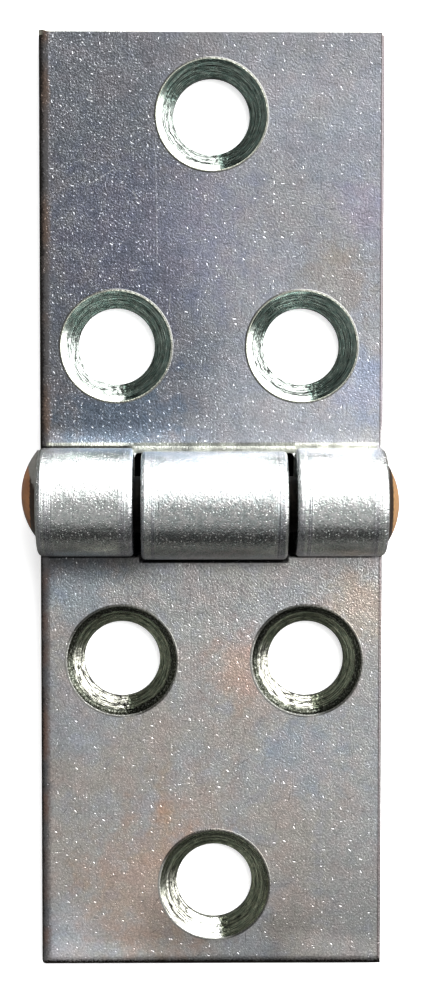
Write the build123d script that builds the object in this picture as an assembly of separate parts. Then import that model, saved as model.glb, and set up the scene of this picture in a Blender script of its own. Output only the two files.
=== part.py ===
from build123d import *
import math
import os

os.makedirs("parts", exist_ok=True)

# ---------------------------------------------------------------- dimensions, mm
# Frame: the open hinge lies on its back on z = 0, the pin runs along X, the
# upper leaf points to +Y, the lower leaf to -Y, the countersinks face +Z.
WIDTH = 34.0            # leaf width along the pin
LEAF = 46.5             # pin axis to the free end of a leaf
SHEET = 2.5             # sheet thickness
ROLL_R = 5.3            # outer radius of the rolled knuckle, also the height of the pin axis
LEAN = {True: 0.2, False: 0.1}   # the outer curve of the roll sits this far towards its own seam (upper, lower leaf)
BORE_R = 2.8            # inside of the roll
SEAM_GAP = 0.12         # free end of the roll to the face of the plate
PIN_R = 2.75

# knuckles along the pin: outer pair on the upper leaf, centre one on the lower leaf
OUT_L, MID_L, MID_R, OUT_R = -7.65, -6.88, 7.36, 8.20
NOTCH_Y = {True: 4.95, False: 5.2}   # cut-out edge for the other leaf's knuckle, from the pin axis (upper, lower leaf)
NOTCH_FILLET = 0.45
CORNER_R = 0.45         # the lower leaf's left corner, the only rounded one

# countersunk screw holes
HOLE_R = 3.8
SINK_R = 5.4            # 90 degree countersink, radius at the face
SINK_LAND = SHEET - (SINK_R - HOLE_R)          # straight wall left under it
LIP_R, LIP_TUBE, LIP_RISE = SINK_R + 0.12, 0.25, 0.06   # burr that the cutter has raised round the countersink
# turned grooves of the countersink: (distance up the cone from its lower edge, depth)
TURNED = [
    (0.18, 0.0), (0.27, 0.020), (0.36, 0.0), (0.60, 0.0), (0.70, 0.026), (0.80, 0.0), (0.97, 0.022),
    (1.08, 0.0), (1.30, 0.0), (1.41, 0.028), (1.52, 0.0), (1.68, 0.020), (1.78, 0.0),
]
UPPER_HOLES = [(0.0, 38.25), (-9.45, 15.5), (8.95, 15.5)]
LOWER_HOLES = [(0.3, -38.4), (-8.95, -15.8), (9.5, -15.8)]

# rounding of the sheet's edges: (width on the face, depth on the wall)
SOFT = (1.15, 0.5)      # punch side, the soft left edge
SOFT_END = (1.0, 0.45)  # lower leaf's free end
CRISP = (0.32, 0.25)    # the sharper edges
BACK = (0.35, 0.35)     # back of the sheet
ROLL_END = (0.6, 0.55)  # outer ends of the outer knuckles
ROLL_IN = (0.45, 0.4)   # ends facing the gaps
CREASE_R, CREASE_DEPTH, CREASE_Y = 0.8, 0.15, 5.55   # lower leaf: the plate is dented along the seam
# upper leaf: metal squeezed up into a low bead along the seam and along the cut-out
BEAD_R, BEAD_RISE = 1.3, 0.10
BEAD_Y, BEAD_NOTCH_Y = 5.45, 5.12

# peened heads of the pin: base radius, height, shift towards the upper leaf
HEAD_L = (4.4, 1.62, 0.95)
HEAD_R = (4.15, 1.35, 0.1)

S = 0.01                # how far a rounding cutter's curve runs past the face


def face_of(points_and_arcs, plane):
    with BuildSketch(plane) as sk:
        with BuildLine():
            for item in points_and_arcs:
                if item[0] == "line":
                    Line(item[1], item[2])
                else:
                    ThreePointArc(item[1], item[2], item[3])
        make_face()
    return sk.sketch


def polar(cx, cy, r, deg):
    a = math.radians(deg)
    return (cx + r * math.cos(a), cy + r * math.sin(a))


# ---------------------------------------------------------------- one leaf, seam towards +Y
# Outer curve: one circle. Inner curve: concentric with the pin up to the top,
# then a little wider where the free end springs off the pin.
end_deg = math.degrees(math.asin((SHEET + SEAM_GAP - ROLL_R) / ROLL_R))
seam_in = ROLL_R + 0.2 - SHEET
top_in = ROLL_R + BORE_R
c_in = (top_in ** 2 - ROLL_R ** 2 - seam_in ** 2) / (2 * (top_in - ROLL_R))
r_in = top_in - c_in
end_in = polar(0.0, c_in, r_in, end_deg + 3.0)


def blank(lean):
    """The sheet with its roll, full width, before the knuckles are parted."""
    end_out = polar(lean, ROLL_R, ROLL_R, end_deg)
    back = face_of(
        [
            ("line", (LEAF, 0), (lean, 0)),
            ("arc", (lean, 0), (lean - ROLL_R, ROLL_R), (lean, 2 * ROLL_R)),
            ("arc", (lean, 2 * ROLL_R), polar(lean, ROLL_R, ROLL_R, 30), end_out),
            ("line", end_out, end_in),
            ("arc", end_in, polar(0, c_in, r_in, 30), (0, top_in)),
            ("arc", (0, top_in), (-BORE_R, ROLL_R), (0, ROLL_R - BORE_R)),
            ("line", (0, ROLL_R - BORE_R), (LEAF, SHEET)),
            ("line", (LEAF, SHEET), (LEAF, 0)),
        ],
        Plane.YZ,
    )
    body = extrude(back, WIDTH / 2, both=True)
    # the sheared free end is broken slightly on its outer corner
    lip = [e for e in body.edges() if abs(e.center().Y - end_out[0]) < 0.01 and abs(e.center().Z - end_out[1]) < 0.01]
    return fillet(lip, 0.25)


def box(x0, x1, y0, y1, z0, z1):
    return Box(x1 - x0, y1 - y0, z1 - z0, align=(Align.MIN, Align.MIN, Align.MIN)).moved(Location((x0, y0, z0)))


def corner_profile(width, depth):
    """Points (u, v) of the waste outside a rounded edge, u inward on the face, v inward on the wall."""
    m = 0.8
    a, b = width + S, depth + S
    # ellipse centred on (width, depth), a hair larger than the edge so that it crosses both faces
    uc = width - a * math.sqrt(max(0.0, 1 - (depth / b) ** 2))
    vc = depth - b * math.sqrt(max(0.0, 1 - (width / a) ** 2))
    t0 = math.atan2((depth - 0.0) / b, (width - uc) / a)
    t1 = math.atan2((depth - vc) / b, (width - 0.0) / a)
    n = 9
    curve = []
    for i in range(n + 1):
        t = t0 + (t1 - t0) * i / n
        curve.append((width - a * math.cos(t), depth - b * math.sin(t)))
    return m, uc, vc, curve


def waste(width, depth, place):
    """Face of the waste; place maps (u, v) to a point of the sketch plane."""
    m, uc, vc, curve = corner_profile(width, depth)
    with BuildLine() as ln:
        Spline(*[place(u, v) for u, v in curve])
        Polyline(place(*curve[-1]), place(-m, curve[-1][1]), place(-m, -m), place(curve[0][0], -m), place(*curve[0]))
    return ln.line


def side_cutter(x_wall, sx, z_face, sz, y0, y1, size):
    """Rounds an edge that runs along Y. sx, sz point into the material."""
    wire = waste(size[0], size[1], lambda u, v: (x_wall + sx * u, z_face + sz * v))
    with BuildSketch(Plane((0, 0, 0), x_dir=(1, 0, 0), z_dir=(0, -1, 0))) as sk:
        with BuildLine():
            add(wire)
        make_face()
    return extrude(sk.sketch, y1 - y0, dir=(0, 1, 0)).moved(Location((0, y0, 0)))


def end_cutter(y_wall, sy, z_face, sz, x0, x1, size):
    """Rounds an edge that runs along X."""
    wire = waste(size[0], size[1], lambda u, v: (y_wall + sy * u, z_face + sz * v))
    with BuildSketch(Plane.YZ) as sk:
        with BuildLine():
            add(wire)
        make_face()
    return extrude(sk.sketch, x1 - x0, dir=(1, 0, 0)).moved(Location((x0, 0, 0)))


def roll_cutter(x_wall, sx, size, lean):
    """Rounds the end of a knuckle all round its outer curve, seam to back."""
    # u inward along the pin, v inward along the radius
    wire = waste(size[0], size[1], lambda u, v: (x_wall + sx * u, ROLL_R - v))
    with BuildSketch(Plane.XY) as sk:
        with BuildLine():
            add(wire)
        make_face()
    ring = revolve(sk.sketch, Axis.X, 360)
    ring = ring.moved(Location((0, lean, ROLL_R)))
    # the plate side of the ring is left out: it starts above the plate and ends where the back turns flat
    keep_low = box(-40, 40, lean, 20, -5, SHEET + SEAM_GAP * 0.5)
    return ring - keep_low


def lip(x, y):
    """Rounded ring that stands a little above the face."""
    return Torus(LIP_R, LIP_TUBE).moved(Location((x, y, SHEET + LIP_RISE - LIP_TUBE)))


def screw_hole(x, y):
    c = math.sqrt(0.5)
    over = (SHEET + 0.4 - SINK_LAND) / c
    cone = [(HOLE_R + (s + d) * c, SINK_LAND + (s - d) * c) for s, d in TURNED + [(over, 0.0)]]
    profile = [(0, -1), (HOLE_R, -1), (HOLE_R, SINK_LAND)] + cone + [(0, cone[-1][1])]
    with BuildSketch(Plane.XZ) as sk:
        with BuildLine():
            Polyline(*profile, close=True)
        make_face()
    return revolve(sk.sketch, Axis.Z, 360).moved(Location((x, y, 0)))


def crease(x0, x1):
    """The plate is pressed in slightly where the free end of the roll bears on it."""
    z = SHEET - CREASE_DEPTH + CREASE_R
    return Cylinder(CREASE_R, x1 - x0, rotation=(0, 90, 0)).moved(Location(((x0 + x1) / 2, CREASE_Y, z)))


def bead(x0, x1, y):
    """Low rounded ridge along the pin, standing BEAD_RISE above the face; its lower part lies inside the sheet."""
    z = SHEET + BEAD_RISE - BEAD_R
    rod = Cylinder(BEAD_R, x1 - x0, rotation=(0, 90, 0)).moved(Location(((x0 + x1) / 2, y, z)))
    return rod & box(x0, x1, y - 2, y + 2, SHEET - 0.3, SHEET + 1)


def leaf(upper):
    lean, notch_y = LEAN[upper], NOTCH_Y[upper]
    body = blank(lean)
    half = WIDTH / 2
    if not upper:
        corner = [
            e for e in body.edges().filter_by(Axis.Z)
            if abs(e.center().X + half) < 0.01 and abs(e.center().Y - LEAF) < 0.01
        ]
        body = fillet(corner, CORNER_R)
    if upper:
        gaps = [(OUT_L, OUT_R)]
        tabs = [(-half, OUT_L), (OUT_R, half)]
    else:
        gaps = [(-half - 1, MID_L), (MID_R, half + 1)]
        tabs = [(MID_L, MID_R)]
    for x0, x1 in gaps:
        body -= box(x0, x1, -8, 8, SHEET + SEAM_GAP / 2, 12)
        body -= box(x0, x1, -8, notch_y, -1, SHEET + SEAM_GAP / 2)
    # inside corners of the cut-outs
    inner_x = [x for pair in gaps for x in pair if abs(x) < half]
    corners = [
        e for e in body.edges().filter_by(Axis.Z)
        if abs(e.center().Y - notch_y) < 0.01 and min(abs(e.center().X - x) for x in inner_x) < 0.01
        and e.center().Z < SHEET
    ]
    body = fillet(corners, NOTCH_FILLET)

    end = (LEAF, -1)
    # face edges of the plate
    y_side = lean if upper else notch_y - 1
    soft_end = CRISP if upper else SOFT_END
    cutters = [
        side_cutter(-half, 1, SHEET, -1, 3.2, LEAF + 1, SOFT),
        side_cutter(half, -1, SHEET, -1, 3.2, LEAF + 1, CRISP),
        end_cutter(LEAF, -1, SHEET, -1, -half - 1, half + 1, soft_end),
        end_cutter(LEAF, -1, 0, 1, -half - 1, half + 1, BACK),
        side_cutter(-half, 1, 0, 1, y_side, LEAF + 1, BACK),
        side_cutter(half, -1, 0, 1, y_side, LEAF + 1, BACK),
    ]
    # cut-out edges of the plate, face and back
    for x0, x1 in gaps:
        a = max(x0, -half - 1) + (NOTCH_FILLET if abs(x0) < half else 0)
        b = min(x1, half + 1) - (NOTCH_FILLET if abs(x1) < half else 0)
        if not upper:
            cutters.append(end_cutter(notch_y, 1, SHEET, -1, a, b, (0.4, 0.3)))
        cutters.append(end_cutter(notch_y, 1, 0, 1, a, b, (0.4, 0.3)))
    for x0, x1 in tabs:
        outer0, outer1 = abs(x0) >= half, abs(x1) >= half
        cutters.append(roll_cutter(x0, 1, ROLL_END if outer0 else ROLL_IN, lean))
        cutters.append(roll_cutter(x1, -1, ROLL_END if outer1 else ROLL_IN, lean))
    for c in cutters:
        body -= c
    if upper:
        # the beads stop short of the sheet's rounded sides
        body += bead(-half + 0.9, OUT_L - 0.1, BEAD_Y) - box(-half, OUT_L, 0, 5.05, SHEET, 12)
        body += bead(OUT_R + 0.1, half - 0.4, BEAD_Y) - box(OUT_R, half, 0, 5.05, SHEET, 12)
        body += bead(OUT_L - 0.1, OUT_R + 0.1, BEAD_NOTCH_Y) - box(-half, half, 0, notch_y, 0, 12)
    else:
        body -= crease(MID_L - 0.2, MID_R + 0.2)
    if not upper:
        body = body.mirror(Plane.XZ)
    for x, y in UPPER_HOLES if upper else LOWER_HOLES:
        body += lip(x, y)
        body -= screw_hole(x, y)
    return body


# ---------------------------------------------------------------- the pin, peened over at both ends
def head(x_face, s, size):
    base, high, shift = size
    rho = (base ** 2 + high ** 2) / (2 * high)
    c = x_face + s * (high - rho)
    half_angle = math.atan2(base, rho - high) / 2
    with BuildSketch(Plane.XY) as sk:
        with BuildLine():
            mid = (c + s * rho * math.cos(half_angle), rho * math.sin(half_angle))
            ThreePointArc((x_face + s * high, 0), mid, (x_face, base))
            Line((x_face, base), (x_face, 0))
            Line((x_face, 0), (x_face + s * high, 0))
        make_face()
    return Location((0, shift, ROLL_R)) * revolve(sk.sketch, Axis.X, 360)


def pin():
    half = WIDTH / 2
    shaft = Location((0, 0, ROLL_R)) * Cylinder(PIN_R, WIDTH + 0.4, rotation=(0, 90, 0))
    return shaft + head(-half, -1, HEAD_L) + head(half, 1, HEAD_R)


for name, shape in (("upper_leaf", leaf(True)), ("lower_leaf", leaf(False)), ("hinge_pin", pin())):
    solids = shape.solids()
    print(name, "solids", len(solids), "volume", round(sum(s.volume for s in solids), 2), "valid", [s.is_valid for s in solids])
    solid = solids[0]
    solid.label = name
    export_step(solid, f"parts/{name}.step")
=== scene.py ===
import math

import bpy
from mathutils import Matrix, Vector

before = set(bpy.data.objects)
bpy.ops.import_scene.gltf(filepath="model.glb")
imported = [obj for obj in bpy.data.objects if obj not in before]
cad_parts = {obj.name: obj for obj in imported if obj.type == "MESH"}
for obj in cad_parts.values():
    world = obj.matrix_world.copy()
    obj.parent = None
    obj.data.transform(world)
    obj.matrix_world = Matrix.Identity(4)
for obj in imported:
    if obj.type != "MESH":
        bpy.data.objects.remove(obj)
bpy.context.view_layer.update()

MM = 0.001
PIN_Z = 5.3                       # height of the pin axis, mm
HOLES_U = [(0.0, 38.25), (-9.45, 15.5), (8.95, 15.5)]
HOLES_L = [(0.3, -38.4), (-8.95, -15.8), (9.5, -15.8)]
HOLE_R, SINK_R, LIP_OUT, SHEET = 3.8, 5.4, 5.72, 2.5

scene = bpy.context.scene
scene.view_settings.view_transform = "Standard"
scene.view_settings.look = "None"
scene.view_settings.exposure = 0.0
scene.view_settings.gamma = 1.0


# ------------------------------------------------------------------ node helper
class Net:
    """A small helper that builds node trees from python expressions."""

    def __init__(self, tree):
        self.t = tree
        self.t.nodes.clear()
        self.x = 0

    def node(self, kind, **props):
        n = self.t.nodes.new(kind)
        self.x += 40
        n.location = (self.x, -(self.x % 600))
        for k, v in props.items():
            setattr(n, k, v)
        return n

    def put(self, socket, value):
        if isinstance(value, bpy.types.NodeSocket):
            self.t.links.new(value, socket)
        elif value is not None:
            socket.default_value = value

    def math(self, op, a, b=None, c=None, clamp=False):
        n = self.node("ShaderNodeMath", operation=op, use_clamp=clamp)
        self.put(n.inputs[0], a)
        self.put(n.inputs[1], b)
        if c is not None:
            self.put(n.inputs[2], c)
        return n.outputs[0]

    def add(self, a, b):
        return self.math("ADD", a, b)

    def sub(self, a, b):
        return self.math("SUBTRACT", a, b)

    def mul(self, a, b):
        return self.math("MULTIPLY", a, b)

    def div(self, a, b):
        return self.math("DIVIDE", a, b)

    def high(self, a, b):
        return self.math("MAXIMUM", a, b)

    def low(self, a, b):
        return self.math("MINIMUM", a, b)

    def abs(self, a):
        return self.math("ABSOLUTE", a)

    def vec(self, op, a, b=None, scale=None):
        n = self.node("ShaderNodeVectorMath", operation=op)
        self.put(n.inputs[0], a)
        if b is not None:
            self.put(n.inputs[1], b)
        if scale is not None:
            self.put(n.inputs["Scale"], scale)
        return n.outputs["Value"] if op in ("DOT_PRODUCT", "LENGTH", "DISTANCE") else n.outputs["Vector"]

    def xyz(self, v):
        n = self.node("ShaderNodeSeparateXYZ")
        self.put(n.inputs[0], v)
        return n.outputs[0], n.outputs[1], n.outputs[2]

    def combine(self, x, y, z):
        n = self.node("ShaderNodeCombineXYZ")
        for s, v in zip(n.inputs, (x, y, z)):
            self.put(s, v)
        return n.outputs[0]

    def step(self, v, lo, hi, to0=0.0, to1=1.0, smooth=True):
        n = self.node("ShaderNodeMapRange", interpolation_type="SMOOTHSTEP" if smooth else "LINEAR", clamp=True)
        self.put(n.inputs["Value"], v)
        self.put(n.inputs["From Min"], lo)
        self.put(n.inputs["From Max"], hi)
        self.put(n.inputs["To Min"], to0)
        self.put(n.inputs["To Max"], to1)
        return n.outputs["Result"]

    def mix(self, f, a, b, kind="RGBA"):
        n = self.node("ShaderNodeMix", data_type=kind)
        names = {"RGBA": ("Factor_Float", "A_Color", "B_Color", "Result_Color"),
                 "FLOAT": ("Factor_Float", "A_Float", "B_Float", "Result_Float"),
                 "VECTOR": ("Factor_Float", "A_Vector", "B_Vector", "Result_Vector")}[kind]
        ins = {s.identifier: s for s in n.inputs}
        outs = {s.identifier: s for s in n.outputs}
        self.put(ins[names[0]], f)
        for k, v in ((names[1], a), (names[2], b)):
            if kind == "RGBA" and isinstance(v, (tuple, list)) and len(v) == 3:
                v = (*v, 1.0)
            self.put(ins[k], v)
        return outs[names[3]]

    def noise(self, v, scale, detail=1.0, rough=0.5, dims="2D"):
        n = self.node("ShaderNodeTexNoise", noise_dimensions=dims)
        self.put(n.inputs["W" if dims == "1D" else "Vector"], v)
        self.put(n.inputs["Scale"], scale)
        self.put(n.inputs["Detail"], detail)
        self.put(n.inputs["Roughness"], rough)
        return n.outputs[0]

    def ramp(self, f, stops):
        n = self.node("ShaderNodeValToRGB")
        cr = n.color_ramp
        while len(cr.elements) > 1:
            cr.elements.remove(cr.elements[-1])
        for i, (p, c) in enumerate(stops):
            e = cr.elements[0] if i == 0 else cr.elements.new(p)
            e.position = p
            e.color = (*c, 1.0)
        self.put(n.inputs[0], f)
        return n.outputs[0]

    def bump(self, height_mm):
        n = self.node("ShaderNodeBump")
        self.put(n.inputs["Height"], height_mm)
        n.inputs["Distance"].default_value = MM
        n.inputs["Strength"].default_value = 1.0
        return n.outputs[0]


def material(name):
    m = bpy.data.materials.new(name)
    m.use_nodes = True
    return m, Net(m.node_tree)


def place(n):
    """Position on the part in millimetres in the row frame at rest, and its normal there."""
    tc = n.node("ShaderNodeTexCoord")
    return n.vec("SCALE", tc.outputs["Object"], scale=1000.0), tc.outputs["Normal"]


def dashes(n, u, v, cell, seed, keep, length, width):
    """Short marks at random angles, one at most in each cell: 1 in the middle of a mark, 0 on clean metal."""
    q = n.combine(n.math("MULTIPLY_ADD", u, 1.0 / cell, seed * 13.7), n.math("MULTIPLY_ADD", v, 1.0 / cell, seed * 7.9), 0.0)
    vor = n.node("ShaderNodeTexVoronoi", feature="F1", voronoi_dimensions="2D")
    n.put(vor.inputs["Vector"], q)
    vor.inputs["Scale"].default_value = 1.0
    vor.inputs["Randomness"].default_value = 1.0
    c0, c1, c2 = n.xyz(vor.outputs["Color"])
    dx, dy, _ = n.xyz(n.vec("SUBTRACT", q, vor.outputs["Position"]))
    th = n.mul(c1, math.pi * 4.0)
    co, si = n.math("COSINE", th), n.math("SINE", th)
    along = n.abs(n.add(n.mul(dx, co), n.mul(dy, si)))
    across = n.abs(n.sub(n.mul(dy, co), n.mul(dx, si)))
    half = n.mul(n.add(c2, 0.25), length / cell)
    line = n.mul(n.step(across, 0.0, width / cell, 1.0, 0.0, smooth=False), n.step(n.div(along, half), 0.6, 1.0, 1.0, 0.0))
    return n.mul(line, n.math("MULTIPLY", n.sub(keep, c0), 4.5, clamp=True))


def mark(n, x, y, a, b, width, depth):
    """One straight scratch from a to b in mm, 0 beside it and depth on its line."""
    dx, dy = b[0] - a[0], b[1] - a[1]
    ln = math.hypot(dx, dy)
    ux, uy = dx / ln, dy / ln
    mx, my = (a[0] + b[0]) / 2, (a[1] + b[1]) / 2
    al = n.abs(n.add(n.math("MULTIPLY_ADD", x, ux, -mx * ux), n.math("MULTIPLY_ADD", y, uy, -my * uy)))
    ac = n.abs(n.add(n.math("MULTIPLY_ADD", x, -uy, mx * uy), n.math("MULTIPLY_ADD", y, ux, -my * ux)))
    return n.mul(n.step(ac, 0.0, width, depth, 0.0, smooth=False), n.step(al, ln / 2 * 0.8, ln / 2, 1.0, 0.0))


def principled(n, color, rough, normal, aniso=None, tangent=None, metallic=1.0):
    b = n.node("ShaderNodeBsdfPrincipled")
    n.put(b.inputs["Base Color"], (*color, 1.0) if isinstance(color, tuple) and len(color) == 3 else color)
    b.inputs["Metallic"].default_value = metallic
    n.put(b.inputs["Roughness"], rough)
    n.put(b.inputs["Normal"], normal)
    if aniso is not None:
        b.inputs["Anisotropic"].default_value = aniso
        n.put(b.inputs["Tangent"], tangent)
    out = n.node("ShaderNodeOutputMaterial")
    n.t.links.new(b.outputs[0], out.inputs["Surface"])
    return b


# ------------------------------------------------------------------ materials
def zinc_plate(name, cool, light, warm, warm_share, pitted, shade, marks, grainy, sheen, patches, rim, holes, upper, seed):
    m, n = material(name)
    p, nrm = place(n)
    x, y, z = n.xyz(p)
    # one flat pattern plane, leaning so that it also runs over the edges of the sheet
    u = n.math("MULTIPLY_ADD", z, 0.70, x)
    v = n.math("MULTIPLY_ADD", z, 0.55, y)
    q = n.combine(u, v, 0.0)
    q2 = n.vec("ADD", q, (seed * 31.0, seed * 17.0, 0.0))
    big = n.noise(q2, 0.07, 2.0, 0.55)
    med = n.noise(q2, 0.55, 2.0, 0.6)
    fine = n.noise(q, 4.6, 1.5, 0.7)
    grit = n.noise(q, 9.0, 0.0)
    worn = pitted(n, x, y, big, med)                     # 0 smooth, 1 thickly pitted
    pits = dashes(n, u, v, 0.34, seed, n.mul(worn, 0.60), 0.10, 0.07)
    nicks = dashes(n, u, v, 0.95, seed + 3.0, n.math("MULTIPLY_ADD", worn, 0.30, 0.32), 0.15, 0.085)
    deep = n.add(n.mul(pits, 0.022), n.mul(nicks, 0.034))
    grain = n.math("MULTIPLY_ADD", worn, grainy[0], grainy[1])
    h = n.add(n.mul(n.math("MULTIPLY_ADD", grit, 0.35, fine), grain), n.mul(med, 0.005))
    h = n.sub(h, deep)
    col = n.mix(n.step(n.math("MULTIPLY_ADD", med, 0.4, big), 0.50, 0.86), cool, light)
    wm = n.noise(n.vec("ADD", q2, (9.0, 5.0, 0.0)), 0.13, 3.0, 0.6)
    col = n.mix(n.mul(n.step(wm, 0.40, 0.64), warm_share(n, x, y)), col, warm)
    # faint interference colours of the passivation, in patches of a few millimetres
    iris = n.ramp(n.noise(n.vec("ADD", q2, (3.0, 21.0, 0.0)), 0.33, 2.0, 0.6), [
        (0.30, (0.90, 0.97, 1.10)), (0.43, (0.96, 1.02, 0.97)), (0.52, (1.0, 1.0, 1.0)), (0.66, (1.08, 0.96, 0.93))])
    col = n.mix(sheen, col, n.vec("MULTIPLY", col, iris))
    for cx, cy, rad, tint in patches:
        away = n.math("SQRT", n.add(n.math("POWER", n.sub(x, cx), 2.0), n.math("POWER", n.sub(y, cy), 2.0)))
        away = n.math("MULTIPLY_ADD", n.sub(med, 0.5), rad * 1.2, away)
        col = n.vec("MULTIPLY", col, n.mix(n.step(away, rad * 0.25, rad, 1.0, 0.0), (1.0, 1.0, 1.0), tint))
    tone = n.math("MULTIPLY_ADD", n.sub(fine, 0.5), n.math("MULTIPLY_ADD", worn, 0.60, 0.38 if upper else 0.52), 1.0)
    tone = n.math("MULTIPLY_ADD", n.sub(med, 0.5), 0.30, tone)
    # clumps of pits
    tone = n.math("MULTIPLY_ADD", n.sub(n.noise(q2, 1.7, 2.0, 0.7), 0.5), n.math("MULTIPLY_ADD", worn, 0.75, 0.10), tone)
    tone = n.mul(tone, shade(n, x, y, big))
    col = n.vec("SCALE", col, scale=tone)
    # a few dark hairlines
    hair = dashes(n, u, v, 1.5, seed + 9.0, 0.45, 0.55, 0.055)
    col = n.vec("SCALE", col, scale=n.math("MULTIPLY_ADD", hair, -0.55, 1.0))
    # bare metal in the bottom of the nicks and of the longer scratches
    cuts = 0.0
    for a, b, width, depth in marks:
        cuts = n.add(cuts, mark(n, x, y, a, b, width * 1.9, depth))
    bare = n.low(n.add(n.math("MULTIPLY_ADD", pits, 0.5, nicks), n.mul(n.mul(cuts, 45.0), n.math("MULTIPLY_ADD", fine, 1.6, 0.4))), 1.0)
    col = n.mix(n.mul(bare, 0.55), col, (0.78, 0.79, 0.80))
    # edges of the sheet: the side walls are brownish where the passivation has worn thin; the roundings of the face
    # carry painted shade: a dark brownish band and a near-black strip on the left, a darker band and a near-black strip
    # along the end of the lower leaf, a dark strip on the right
    _, _, nz = n.xyz(nrm)
    up = n.abs(nz)
    face = n.step(nz, 0.04, 0.22)
    front = n.math("GREATER_THAN", z, 1.5)
    wall = n.step(up, 0.04, 0.30, 1.0, 0.0)
    col = n.mix(n.mul(wall, 0.75), col, n.vec("SCALE", (0.50, 0.46, 0.43), scale=n.math("MULTIPLY_ADD", n.sub(med, 0.5), 0.9, n.math("MULTIPLY_ADD", n.sub(fine, 0.5), 0.8, 0.9))))
    rub = n.noise(n.math("MULTIPLY_ADD", med, 1.5, n.mul(y, 1.0)), 0.16, 1.0, 0.5, dims="1D")
    tan = n.mix(n.step(rub, 0.44, 0.60), rim[0], rim[1])
    edge = n.math("MULTIPLY_ADD", n.sub(fine, 0.5), 0.5, n.math("MULTIPLY_ADD", n.sub(med, 0.5), 0.4, x))
    # brownish band inside the left rounding: partly the passivation worn thin, darkened there as painted shade
    col = n.mix(n.mul(n.step(edge, *((-16.45, -15.70) if upper else (-16.60, -15.85)), 0.95, 0.0), face), col, tan)
    # painted shade: near-black outer strip on the left rounding
    col = n.mix(n.mul(n.step(edge, *((-16.85, -16.35) if upper else (-17.0, -16.55)), 0.94, 0.0), face), col, (0.030, 0.027, 0.026))
    low_edge = n.math("MULTIPLY_ADD", n.sub(fine, 0.5), 0.4, n.math("MULTIPLY_ADD", med, 0.2, y))
    # painted shade: darker band and near-black strip along the end of the lower leaf
    col = n.vec("SCALE", col, scale=n.sub(1.0, n.mul(n.step(low_edge, -46.1, -45.2, 0.5, 0.0), n.step(x, -13.0, -5.0))))
    col = n.mix(n.mul(n.step(low_edge, -46.20, -45.85, 1.0, 0.0), face), col, (0.035, 0.031, 0.027))
    # painted shade: dark strip on the right rounding
    col = n.mix(n.mul(n.step(n.math("MULTIPLY_ADD", med, 0.08, x), 16.62, 16.80, 0.0, 0.85), face), col, (0.11, 0.09, 0.09))
    if upper:
        # painted highlight: pale line along the rounding of the far end of the upper leaf
        col = n.mix(n.mul(n.step(up, 0.80, 0.97, 1.0, 0.0), n.math("GREATER_THAN", y, 46.0)), col, (0.70, 0.69, 0.58))
        # painted highlight on the bead along the seam, brighter towards both ends
        bead = n.mul(n.step(y, 5.85, 6.10, 1.0, 0.0), n.math("GREATER_THAN", z, 2.45))
        col = n.mix(n.mul(bead, n.step(x, 16.2, 16.6, 0.9, 0.0)), col, n.vec("SCALE", n.mix(n.step(n.abs(n.add(x, 0.5)), 6.0, 9.0), (0.34, 0.35, 0.30), (0.48, 0.49, 0.41)), scale=n.step(med, 0.30, 0.65, 0.55, 1.25)))
        # painted shadow: near-black line in the seam under the left outer knuckle
        line = n.mul(n.step(n.abs(n.sub(y, 5.46)), 0.13, 0.24, 1.0, 0.0), n.step(x, -8.6, -7.4, 0.95, 0.0))
        col = n.mix(n.mul(line, front), col, (0.02, 0.02, 0.02))
    else:
        # painted shadow in the seam against the knuckles, wider under the centre knuckle
        mid = n.mul(n.math("GREATER_THAN", x, -7.2), n.math("LESS_THAN", x, 7.7))
        seam_shadow = n.step(n.math("MULTIPLY_ADD", mid, -0.50, n.abs(y)), 5.32, 5.62, 0.94, 0.0)
        col = n.vec("SCALE", col, scale=n.sub(1.0, n.mul(seam_shadow, front)))
    # burr round each countersink, with painted light: on the upper holes a pale painted highlight on its crest, darker
    # outside it; on the lower holes pale on the side towards the lower left, which faces the light, and near black as
    # painted shade on the other side
    for hx, hy in holes:
        ex, ey = n.sub(x, hx), n.sub(y, hy)
        dist = n.math("SQRT", n.add(n.mul(ex, ex), n.mul(ey, ey)))
        ring = n.mul(n.step(dist, 5.62, 5.74, 1.0, 0.0), front)
        if upper:
            crest = n.step(n.abs(n.sub(dist, 5.46)), 0.02, 0.10)
            col = n.mix(ring, col, n.mix(crest, (0.55, 0.57, 0.47), (0.16, 0.16, 0.15)))
        else:
            side = n.step(n.add(n.mul(ex, 0.77), n.mul(ey, 0.64)), -3.5, -1.5)
            col = n.mix(n.mul(ring, 0.9), col, n.mix(side, (0.60, 0.60, 0.56), (0.05, 0.05, 0.04)))
    rough = n.math("MULTIPLY_ADD", fine, 0.14, 0.24)
    rough = n.math("MULTIPLY_ADD", n.high(pits, nicks), 0.15, rough)
    principled(n, col, rough, n.bump(h))
    return m


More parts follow.
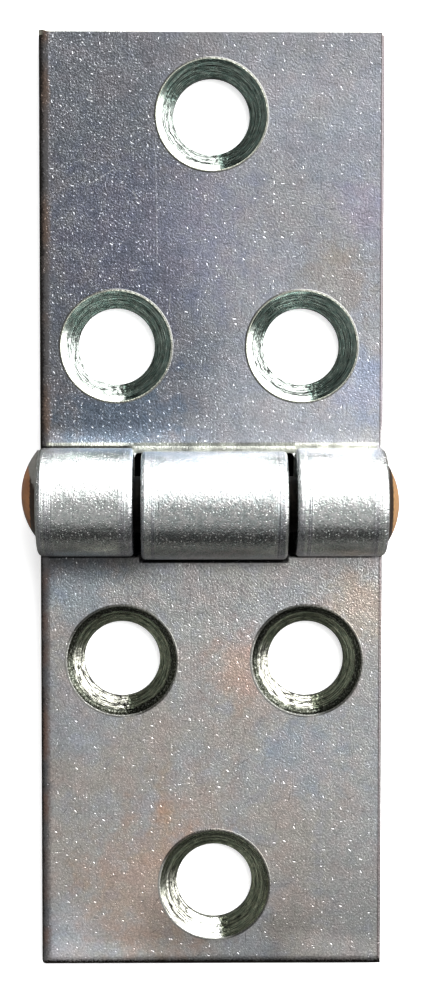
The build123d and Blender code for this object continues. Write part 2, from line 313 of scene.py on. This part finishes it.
def zinc_knuckle(name, tint, levels, ends, seed):
    m, n = material(name)
    p, nrm = place(n)
    x, y, z = n.xyz(p)
    zz = n.sub(z, PIN_Z)
    r = n.math("SQRT", n.add(n.mul(y, y), n.mul(zz, zz)))
    v = n.mul(n.math("ARCTAN2", y, zz), 5.3)
    u = n.math("MULTIPLY_ADD", r, 0.9, x)
    q = n.combine(n.add(u, seed * 23.0), v, 0.0)
    fine = n.noise(q, 4.6, 2.0, 0.75)
    peel = n.noise(q, 1.2, 1.0, 0.5)
    ring = n.noise(n.add(x, seed * 5.0), 5.5, 3.0, 0.8, dims="1D")
    near = None
    for e in ends:
        k = n.step(n.abs(n.sub(x, e)), 1.0, 2.1, 1.0, 0.0)
        near = k if near is None else n.high(near, k)
    pits = dashes(n, u, v, 0.30, seed + 5.0, 0.60, 0.08, 0.07)
    shade = n.math("MULTIPLY_ADD", n.sub(fine, 0.5), 1.05, 1.0)
    shade = n.math("MULTIPLY_ADD", n.sub(peel, 0.5), 0.40, shade)
    shade = n.add(shade, n.mul(n.mul(n.sub(ring, 0.5), 1.3), near))
    shade = n.mul(shade, n.step(x, -2.0, 2.0, levels[0], levels[1]))
    # painted light: brighter on the flank towards the upper leaf, which faces the light; painted shade low on the other
    # flank
    shade = n.mul(shade, n.step(y, 1.5, 4.6, 1.0, 1.36))
    low = n.mul(n.step(n.mul(z, -1.0), -8.0, -5.4), n.step(n.mul(y, -1.0), 3.4, 4.8))
    shade = n.mul(shade, n.sub(1.0, n.mul(low, levels[2])))
    col = n.vec("SCALE", n.mix(n.step(peel, 0.35, 0.65), tint, (0.70, 0.71, 0.70)), scale=shade)
    # greyer bands where the die has marked the ends
    band = n.mul(n.mul(near, n.step(n.noise(n.add(x, seed * 9.0), 1.4, 1.0, 0.5, dims="1D"), 0.42, 0.54)), n.step(y, -4.5, 1.0, 0.75, 0.25))
    col = n.mix(band, col, n.vec("MULTIPLY", col, (0.60, 0.58, 0.66)))
    rough = n.math("MULTIPLY_ADD", fine, 0.12, 0.17)
    h = n.add(n.mul(fine, 0.030), n.mul(peel, 0.028))
    h = n.add(h, n.mul(n.mul(ring, 0.055), near))
    h = n.sub(h, n.mul(pits, 0.026))
    principled(n, col, rough, n.bump(h))
    return m


def sink(name, centres, tint_a, tint_b, inner_tint, inner, turn_r, outer, outer_dark):
    """Turned countersink: concentric tool marks, which spread the reflection up and down the cone."""
    m, n = material(name)
    p, nrm = place(n)
    x, y, z = n.xyz(p)
    far = n.math("GREATER_THAN", n.abs(y), 27.0)
    right = n.math("GREATER_THAN", x, 0.0)
    c = n.mix(right, (*centres[1], 0.0), (*centres[2], 0.0), "VECTOR")
    c = n.mix(far, c, (*centres[0], 0.0), "VECTOR")
    d = n.vec("MULTIPLY", n.vec("SUBTRACT", p, c), (1.0, 1.0, 0.0))
    r = n.vec("LENGTH", d)
    ang = n.math("ARCTAN2", n.xyz(d)[1], n.xyz(d)[0])
    vt = n.node("ShaderNodeVectorTransform", vector_type="VECTOR", convert_from="OBJECT", convert_to="WORLD")
    n.put(vt.inputs[0], n.vec("NORMALIZE", d))
    hid = n.add(n.mul(n.xyz(c)[0], 0.37), n.mul(n.xyz(c)[1], 0.53))
    rq = n.combine(n.mul(r, 5.0), n.mul(n.math("SINE", ang), 0.6), n.add(hid, n.mul(n.math("COSINE", ang), 0.6)))
    turn = n.noise(rq, 1.0, 2.5, 0.75, dims="3D")
    chat = n.noise(n.combine(n.mul(r, 3.0), n.mul(n.math("SINE", ang), 9.0), n.add(hid, n.mul(n.math("COSINE", ang), 9.0))), 1.0, 1.0, 0.6, dims="3D")
    # painted light: each cone is painted bright on the side towards the lower left of its hole, which faces the light,
    # and dark elsewhere
    dxn, dyn, _ = n.xyz(n.vec("NORMALIZE", d))
    painted_lit_side = n.step(n.add(n.mul(dxn, -0.66), n.mul(dyn, -0.75)), 0.22, 0.62)
    painted_lit_side = n.mul(painted_lit_side, n.step(n.math("MULTIPLY_ADD", chat, 0.10, dxn), 0.16, 0.24, 1.0, 0.0))
    rimward = 1.0
    if outer_dark:
        # the outer ring of the two holes near the knuckles is dark and speckled
        ring = n.mul(n.step(n.math("MULTIPLY_ADD", chat, 0.5, r), 5.04, 5.24), n.mix(far, 1.0, n.step(dyn, -0.5, 0.1, 0.0, 0.6), "FLOAT"))
        speck = n.step(n.noise(n.vec("ADD", p, (7.0, 3.0, 0.0)), 5.5, 1.0, 0.6), 0.52, 0.66)
        rimward = n.mix(ring, 1.0, n.math("MULTIPLY_ADD", speck, 0.6, 0.15), "FLOAT")
        painted_lit_side = n.mul(painted_lit_side, n.math("MULTIPLY_ADD", ring, -0.92, 1.0))
    # the pale painted highlight lies on the smooth outer band of the lit side; on the lower holes it lies only in the
    # far hole, spread over the cone away from its leftmost part
    band = n.mul(n.step(r, turn_r, turn_r + 0.18, 0.0, 1.0), n.mul(far, n.step(dxn, -0.75, -0.45)) if outer_dark else 1.0)
    if outer_dark:
        clean = n.mul(far, n.step(n.math("MULTIPLY_ADD", n.sub(chat, 0.5), 0.5, dxn), -0.66, -0.42))
        band = n.high(band, clean)
    bright = n.mix(band, inner_tint, (0.80, 0.82, 0.76))
    tint = n.mix(painted_lit_side, n.mix(n.step(chat, 0.38, 0.62), tint_a, tint_b), bright)
    # fine dark tool marks, cut short by chatter
    fib = n.noise(n.combine(n.mul(r, 9.0), n.mul(dxn, 5.0), n.add(hid, n.mul(dyn, 5.0))), 1.0, 1.0, 0.6, dims="3D")
    cut = n.mul(n.step(fib, 0.38, 0.48, 0.08, 1.0), n.step(turn, 0.33, 0.50, 0.26, 1.10))
    calm = n.math("MULTIPLY_ADD", n.sub(fib, 0.5), 2.0, n.math("MULTIPLY_ADD", n.sub(turn, 0.5), 2.2, 0.82))
    shade = n.mix(n.mul(band, painted_lit_side), n.mix(painted_lit_side, calm, cut, "FLOAT"), 1.0, "FLOAT")
    col = n.vec("SCALE", tint, scale=n.mul(shade, rimward))
    if outer_dark:
        col = n.mix(n.mul(n.mul(ring, speck), 0.7), col, (0.17, 0.17, 0.155))
    # the cutter's last band, next to the rim, is smooth
    groove = n.step(r, turn_r + 0.05, turn_r + 0.3, 1.0, 0.25)
    h = n.mul(n.add(n.mul(turn, 0.17), n.mul(chat, 0.05)), groove)
    h = n.math("MULTIPLY_ADD", n.low(r, turn_r), -inner, h)
    h = n.math("MULTIPLY_ADD", n.high(r, turn_r), -outer, h)
    principled(n, col, 0.24, n.bump(h), aniso=0.8, tangent=vt.outputs[0])
    return m


def copper(name):
    m, n = material(name)
    p, nrm = place(n)
    x, y, z = n.xyz(p)
    q = n.combine(n.add(y, n.mul(x, 0.6)), n.sub(z, n.mul(x, 0.6)), 0.0)
    fine = n.noise(q, 3.0, 2.0, 0.6)
    big = n.noise(q, 0.6, 1.0, 0.5)
    right = n.math("GREATER_THAN", x, 0.0)
    col = n.mix(n.step(big, 0.35, 0.65), (0.66, 0.29, 0.12), (0.50, 0.21, 0.09))
    col = n.vec("SCALE", col, scale=n.step(y, -3.2, 0.5, 0.62, 1.0))
    # painted light: the right head, facing the light, gets a lighter copper than the left head, lightest towards its
    # top
    col = n.mix(right, col, n.mix(n.step(z, 4.0, 8.5), (0.66, 0.31, 0.12), (0.80, 0.45, 0.20)))
    # painted shadow in the crevice against the knuckle
    out = n.abs(x)
    col = n.mix(n.step(n.math("MULTIPLY_ADD", right, 0.07, n.math("MULTIPLY_ADD", fine, 0.20, out)), 17.60, 17.74, 1.0, 0.0), col, (0.05, 0.03, 0.02))
    # the upper part of the punched-over skirt of the left head is grey
    lean = n.math("MULTIPLY_ADD", n.sub(18.0, out), 1.3, n.mul(y, 0.45))
    skirt = n.mul(n.step(n.math("MULTIPLY_ADD", fine, 0.5, lean), 2.0, 2.3), n.math("LESS_THAN", x, 0.0))
    skirt = n.mul(skirt, n.step(y, 1.5, 2.5))
    col = n.mix(skirt, col, (0.36, 0.35, 0.33))
    col = n.vec("SCALE", col, scale=n.math("MULTIPLY_ADD", n.sub(fine, 0.5), 0.5, 1.0))
    pits = dashes(n, n.add(y, x), z, 0.5, 7.0, 0.3, 0.12, 0.07)
    h = n.sub(n.math("MULTIPLY_ADD", big, 0.09, n.mul(fine, 0.022)), n.mul(pits, 0.022))
    principled(n, col, n.math("MULTIPLY_ADD", fine, 0.18, 0.26), n.bump(h), metallic=0.8)
    return m


def shaft_painted_shade(name):
    m, n = material(name)
    p, nrm = place(n)
    x, y, z = n.xyz(p)
    fine = n.noise(n.combine(x, n.add(y, z), 0.0), 2.5, 2.0, 0.6)
    # painted shade: the shaft inside the knuckles is near black
    col = n.mix(n.step(fine, 0.35, 0.65), (0.005, 0.005, 0.0045), (0.014, 0.012, 0.010))
    principled(n, col, n.math("MULTIPLY_ADD", fine, 0.2, 0.55), n.bump(n.mul(fine, 0.01)))
    return m


def pitted_upper(n, x, y, big, med):
    """Tumbled pits lie thickest along the left side of the upper leaf."""
    left = n.step(n.math("MULTIPLY_ADD", big, 14.0, x), -7.0, 11.0, 1.0, 0.36)
    return n.mul(left, n.step(med, 0.25, 0.62, 0.55, 1.0))


def pitted_lower(n, x, y, big, med):
    base = n.step(n.math("MULTIPLY_ADD", big, 10.0, n.abs(n.add(y, 9.0))), 3.0, 16.0, 0.75, 0.34)
    return n.mul(base, n.step(med, 0.25, 0.62, 0.6, 1.0))


def painted_shade_upper(n, x, y, big):
    """Darker towards the left side of the upper leaf and, on the right, towards its far end, lighter close to the
    knuckles: painted shade where the light falls off to the left, together with the passivation's own darker tone on
    the left.
    """
    s = n.step(n.math("MULTIPLY_ADD", big, 8.0, x), -5.0, 11.5)
    right = n.mul(n.step(y, 6.0, 30.0, 1.0, 0.62), n.step(y, 39.0, 46.0, 1.0, 0.80))
    f = n.mix(s, 0.34, right, "FLOAT")
    near = n.step(n.math("MULTIPLY_ADD", n.sub(big, 0.5), 4.0, y), 6.2, 8.6, 1.0, 0.0)
    return n.mul(n.mix(near, f, n.high(f, 0.86), "FLOAT"), n.step(x, 3.0, 10.0, 0.83, 0.79))


def painted_shade_lower(n, x, y, big):
    wob = n.mul(n.sub(big, 0.5), 8.0)
    # painted shadow of the knuckles on the plate just below them: deep and wide on the left, faint and narrow in the
    # middle, none on the right
    shadow = n.mix(n.step(x, -9.0, -3.0), n.step(n.abs(y), 5.6, 9.0, 0.20, 1.0), n.step(n.abs(y), 5.9, 7.0, 0.60, 1.0), "FLOAT")
    shadow = n.mix(n.step(x, 6.5, 8.0), shadow, 1.0, "FLOAT")
    # also darker along the left edge, over the far part of the leaf and most round the middle of its far end, lighter
    # along the very end, a little darker near the knuckles
    f = n.mul(shadow, n.step(n.add(wob, x), -17.0, -14.6, 0.84, 0.96))
    far = n.mul(n.step(n.add(wob, n.mul(y, -1.0)), 30.0, 43.0), n.step(n.add(wob, x), -4.0, 9.0))
    f = n.mul(f, n.sub(1.0, n.mul(far, 0.20)))
    end = n.mul(n.step(n.add(wob, n.mul(y, -1.0)), 37.0, 43.0), n.step(n.abs(n.sub(x, 1.0)), 5.0, 10.0, 1.0, 0.0))
    f = n.mul(f, n.sub(1.0, n.mul(end, 0.35)))
    return n.mul(n.mul(f, 0.80), n.mul(n.step(n.add(n.mul(wob, 0.4), y), -45.0, -43.0, 1.3, 1.0), n.step(n.sub(y, n.mul(x, 0.2)), -14.0, -9.0, 1.0, 0.92)))


def warm_upper(n, x, y):
    return n.step(n.math("MULTIPLY_ADD", y, 0.3, x), -4.0, 18.0, 0.0, 0.5)


def warm_lower(n, x, y):
    return n.mul(n.step(y, -9.0, -22.0, 0.35, 1.0), n.step(x, 8.0, 15.0, 1.0, 0.45))


MARKS_U = [
    ((-5.55, 36.7), (-5.35, 22.8), 0.05, 0.006),
    ((-12.4, 39.75), (-11.6, 39.45), 0.06, 0.02),
    ((-12.2, 39.95), (-11.75, 39.80), 0.06, 0.015),
    ((-7.75, 30.75), (-7.3, 29.9), 0.05, 0.016),
    ((-11.85, 41.1), (-11.8, 40.3), 0.05, 0.014),
    ((-9.6, 32.9), (-12.4, 31.2), 0.05, 0.008),
    ((-8.20, 22.98), (-7.30, 23.02), 0.07, 0.020),
    ((-4.08, 20.8), (-4.20, 19.0), 0.05, 0.012),
]
MARKS_L = [
    ((-1.2, -8.2), (-0.9, -13.5), 0.05, 0.007),
    ((5.5, -22.0), (6.7, -22.7), 0.05, 0.010),
    ((-12.9, -24.0), (-12.2, -26.6), 0.05, 0.008),
    ((12.6, -29.0), (13.5, -27.2), 0.05, 0.009),
]

PATCHES_U = [
    (-9.0, 8.0, 8.0, (0.84, 1.0, 1.16)), (-6.5, 26.0, 13.0, (1.0, 1.0, 1.13)), (15.0, 11.5, 5.0, (0.93, 1.0, 1.18)),
    (12.5, 21.5, 5.5, (1.10, 1.0, 0.88)), (15.5, 29.0, 4.5, (1.0, 0.97, 1.10)),
]
PATCHES_L = [
    (3.4, -16.5, 5.0, (1.24, 1.0, 0.90)), (-5.5, -39.0, 10.0, (1.20, 1.0, 0.88)), (-1.5, -30.0, 6.0, (1.12, 1.0, 0.90)),
    (14.5, -10.5, 5.0, (1.16, 1.0, 0.86)), (-13.5, -8.5, 6.0, (0.90, 1.0, 1.10)), (-14.2, -43.2, 4.2, (1.20, 1.24, 1.30)), (9.0, -25.5, 6.0, (0.93, 1.0, 1.10)),
]
plate_u = zinc_plate("zinc_upper_plate", (0.555, 0.59, 0.665), (0.63, 0.64, 0.70), (0.68, 0.66, 0.65), warm_upper,
                     pitted_upper, painted_shade_upper, MARKS_U, (0.016, 0.018), 0.30, PATCHES_U,
                     ((0.22, 0.21, 0.21), (0.28, 0.205, 0.165)), HOLES_U, True, 1.0)
plate_l = zinc_plate("zinc_lower_plate", (0.63, 0.64, 0.67), (0.67, 0.66, 0.65), (0.69, 0.64, 0.60), warm_lower,
                     pitted_lower, painted_shade_lower, MARKS_L, (0.028, 0.020), 0.42, PATCHES_L,
                     ((0.17, 0.165, 0.17), (0.26, 0.17, 0.14)), HOLES_L, False, 2.0)
knuckle_u = zinc_knuckle("zinc_outer_knuckles", (0.67, 0.71, 0.69), (0.88, 1.04, 0.60), (-17.0, -7.65, 8.20, 17.0), 1.0)
knuckle_l = zinc_knuckle("zinc_centre_knuckle", (0.65, 0.70, 0.69), (0.78, 0.78, 0.74), (-6.88, 7.36), 2.0)
sink_u = sink("turned_upper_sinks", HOLES_U, (0.20, 0.28, 0.245), (0.27, 0.33, 0.29), (0.40, 0.44, 0.41), 0.16, 4.85, 0.24, False)
sink_l = sink("turned_lower_sinks", HOLES_L, (0.215, 0.25, 0.18), (0.29, 0.31, 0.225), (0.60, 0.60, 0.52), 0.22, 4.95, -0.08, True)
head_mat = copper("copper_heads")
shaft_mat = shaft_painted_shade("shaft_painted_shade")


def dress(name, mats, choose):
    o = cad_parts[name]
    me = o.data
    me.materials.clear()
    for mt in mats:
        me.materials.append(mt)
    for poly in me.polygons:
        poly.material_index = choose(poly.center / MM, poly.normal)
    return o


def leaf_choice(holes):
    def choose(c, nrm):
        for hx, hy in holes:
            if math.hypot(c.x - hx, c.y - hy) < SINK_R + 0.035 and 0.0 < c.z < SHEET + 0.03:
                return 2
            if math.hypot(c.x - hx, c.y - hy) < LIP_OUT:
                return 0
        if 4.9 < abs(c.y) < 6.2 and c.z < SHEET + 0.12:
            return 0
        if c.z > SHEET + 0.05 or abs(c.y) < 4.9 and math.hypot(c.y, c.z - PIN_Z) > 4.6:
            return 1
        return 0
    return choose


dress("upper_leaf", [plate_u, knuckle_u, sink_u], leaf_choice(HOLES_U))
dress("lower_leaf", [plate_l, knuckle_l, sink_l], leaf_choice(HOLES_L))
dress("hinge_pin", [head_mat, shaft_mat], lambda c, nrm: 1 if abs(c.x) < 16.98 or math.hypot(c.y, c.z - PIN_Z) < 2.8 and abs(c.x) < 17.25 else 0)

# ------------------------------------------------------------------ floor
bpy.ops.mesh.primitive_plane_add(size=4.0, location=(0, 0, -0.00002))
floor = bpy.context.object
floor.name = "floor"
fm, fn = material("pale_floor")
fb = fn.node("ShaderNodeBsdfPrincipled")
fb.inputs["Roughness"].default_value = 0.9
fb.inputs["Specular IOR Level"].default_value = 0.0
path = fn.node("ShaderNodeLightPath")
fx, fy, _ = fn.xyz(fn.vec("SCALE", fn.node("ShaderNodeTexCoord").outputs["Object"], scale=1000.0))
# painted shadow: the floor below the gaps between the knuckles is black and does not glow, as no light reaches it
gap_shadow = fn.mul(fn.step(fn.abs(fx), 8.4, 9.4, 1.0, 0.0), fn.step(fn.abs(fy), 5.4, 6.2, 1.0, 0.0))
# painted shade in reflections: the floor is pale to the camera and to diffuse light, dark grey where the metal reflects
# it
tone = fn.mix(path.outputs["Is Glossy Ray"], (0.93, 0.93, 0.93), (0.155, 0.155, 0.145))
fn.put(fb.inputs["Base Color"], fn.mix(gap_shadow, tone, (0.002, 0.002, 0.002)))
fb.inputs["Emission Color"].default_value = (1, 1, 1, 1)
fn.put(fb.inputs["Emission Strength"], fn.mul(fn.mul(path.outputs["Is Camera Ray"], 0.55), fn.sub(1.0, gap_shadow)))
fo = fn.node("ShaderNodeOutputMaterial")
fn.t.links.new(fb.outputs[0], fo.inputs[0])
floor.data.materials.append(fm)

# ------------------------------------------------------------------ light
# A broad soft light stands to the right and above the upper leaf, with one straight side;
# a dimmer dome hangs overhead, and the rest of the room is dark.
world = bpy.data.worlds.new("studio")
scene.world = world
world.use_nodes = True
w = Net(world.node_tree)
tc = w.node("ShaderNodeTexCoord")
dx, dy, dz = w.xyz(tc.outputs["Generated"])
hl = w.high(w.math("SQRT", w.add(w.mul(dx, dx), w.mul(dy, dy))), 0.0001)


def azim(deg):
    a = math.radians(deg)
    return w.div(w.add(w.mul(dx, math.cos(a)), w.mul(dy, math.sin(a))), hl)


KEY, DIM, SOUTH, FILL = 3.0, 0.035, 0.47, 0.36
key = w.mul(w.step(azim(8), -0.02, 0.03), w.step(azim(80), -0.26, 0.31))
key = w.mul(w.mul(key, w.step(hl, 0.23, 0.36)), w.step(hl, 0.40, 0.85, KEY, KEY * 2.1))
across = w.mul(w.step(dx, -0.10, 0.30, 0.28, 0.80), w.step(dx, -0.75, -0.50, 0.12, 1.0))
south = w.step(w.mul(dy, -1.0), -0.03, 0.13)
dome = w.mul(w.mix(south, across, SOUTH, "FLOAT"), w.step(dz, 0.56, 0.78))
# faint fill from the two sides, and light from below for a part seen without its floor
side = w.mul(w.step(w.div(w.abs(dx), hl), 0.34, 0.62, 0.0, FILL), w.mul(w.step(dz, 0.10, 0.30), w.step(dz, 0.60, 0.80, 1.0, 0.0)))
below = w.step(w.mul(dz, -1.0), 0.03, 0.15, 0.0, 0.60)
level = w.add(w.high(w.high(key, dome), w.high(side, below)), DIM)
bg = w.node("ShaderNodeBackground")
bg.inputs["Color"].default_value = (1, 1, 1, 1)
w.put(bg.inputs["Strength"], level)
world.cycles.sampling_method = "MANUAL"
world.cycles.sample_map_resolution = 512
wo = w.node("ShaderNodeOutputWorld")
w.t.links.new(bg.outputs[0], wo.inputs[0])

# ------------------------------------------------------------------ camera
YAW, PITCH, ROLL, TX, TY, DIST, FPX = -0.68, -3.05, 0.03, 0.06, 0.94, 199.2, 2005.0
SHIFT_X, SHIFT_Y = 4.4 / 1000.0, -6.8 / 1000.0


def rot(yaw, pitch, roll):
    return Matrix.Rotation(yaw, 3, "Y") @ Matrix.Rotation(pitch, 3, "X") @ Matrix.Rotation(roll, 3, "Z")


cam_data = bpy.data.cameras.new("camera")
cam = bpy.data.objects.new("camera", cam_data)
scene.collection.objects.link(cam)
R = rot(math.radians(YAW), math.radians(PITCH), math.radians(ROLL))
loc = Vector((TX, TY, 2.5)) + R.col[2] * DIST
cam.matrix_world = Matrix.LocRotScale(loc * MM, R.to_quaternion(), None)
cam_data.sensor_width = 36.0
cam_data.lens = FPX / 1000.0 * 36.0
cam_data.shift_x = SHIFT_X
cam_data.shift_y = SHIFT_Y
cam_data.clip_start, cam_data.clip_end = 0.005, 20.0
scene.camera = cam
